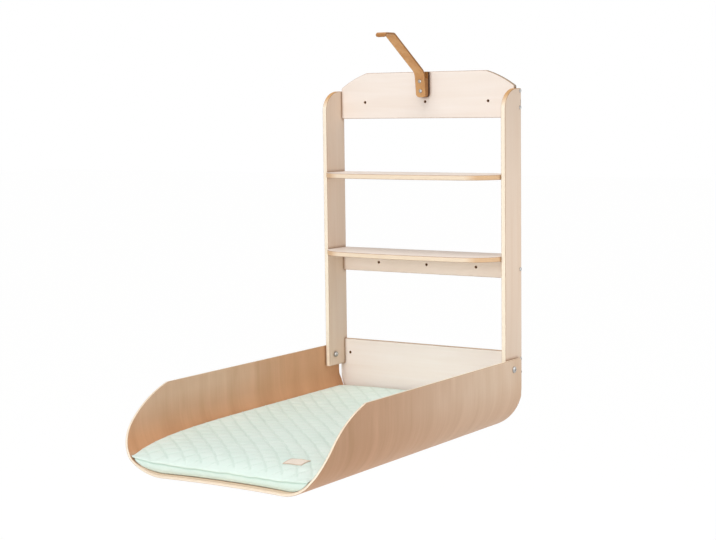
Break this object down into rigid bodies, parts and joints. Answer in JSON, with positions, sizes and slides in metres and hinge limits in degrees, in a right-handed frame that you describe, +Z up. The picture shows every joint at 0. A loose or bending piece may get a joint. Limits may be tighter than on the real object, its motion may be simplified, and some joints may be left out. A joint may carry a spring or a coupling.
{
  "type": "fold-down baby changing station",
  "caption": "Wall-hung plywood baby changing station: shelves between uprights, a U-bent tray with a quilted mattress that folds up, and a leather strap that keeps it closed.",
  "frame": {"origin": "middle of the header's wall face", "axes": "+X to the right seen from the front, +Y into the wall, +Z up"},
  "size_m": [0.5506, 0.8757, 0.9668],
  "materials": {
    "frame_plywood": "clear-lacquered pale birch plywood, satin",
    "tray_plywood": "clear-lacquered moulded plywood with a warmer face veneer, satin",
    "dowel_wood": "plain beech",
    "steel": "bright zinc-plated steel",
    "nylon": "plain nylon",
    "leather": "vegetable-tanned tan leather, matt",
    "dark_leather": "dark brown leather, matt",
    "mattress_cotton": "pale mint cotton, quilted in diamonds",
    "label_cloth": "plain woven cloth, blank"
  },
  "bodies": {
    "frame": {"upright_left": "frame_plywood", "upright_right": "frame_plywood", "header_panel": "frame_plywood", "upper_shelf": "frame_plywood", "lower_shelf": "frame_plywood", "shelf_rail": "frame_plywood", "lower_panel": "frame_plywood", "header_screw_left_upper": "steel", "header_screw_left_lower": "steel", "rail_screw_left": "steel", "panel_screw_left_upper": "steel", "panel_screw_left_lower": "steel", "header_screw_right_upper": "steel", "header_screw_right_lower": "steel", "rail_screw_right": "steel", "panel_screw_right_upper": "steel", "panel_screw_right_lower": "steel", "upper_shelf_dowel_rear_left": "dowel_wood", "upper_shelf_dowel_front_left": "dowel_wood", "lower_shelf_dowel_rear_left": "dowel_wood", "lower_shelf_dowel_front_left": "dowel_wood", "upper_shelf_dowel_rear_right": "dowel_wood", "upper_shelf_dowel_front_right": "dowel_wood", "lower_shelf_dowel_rear_right": "dowel_wood", "lower_shelf_dowel_front_right": "dowel_wood", "pivot_bolt_left": "steel", "pivot_washer_left": "nylon", "pivot_nut_left": "steel", "pivot_bolt_right": "steel", "pivot_washer_right": "nylon", "pivot_nut_right": "steel", "strap_spacer": "dark_leather", "strap_doubler": "leather", "strap_root": "leather", "strap_screw_upper": "steel", "strap_screw_lower": "steel"},
    "tray": {"tray_shell": "tray_plywood", "mattress": "mattress_cotton", "mattress_label": "label_cloth"},
    "strap": {"strap_arm": "leather"}
  },
  "joints": [
    {"name": "tray_fold", "type": "hinge", "parent": "frame", "child": "tray", "pos_m": [0, -0.057, -0.6635], "axis": [-1, 0, 0], "range_deg": [0, 90]},
    {"name": "strap_flex", "type": "hinge", "parent": "frame", "child": "strap", "pos_m": [0, -0.02935, 0.04365], "axis": [-1, 0, 0], "range_deg": [0, 30], "stiffness_Nm_per_rad": 2}
  ]
}
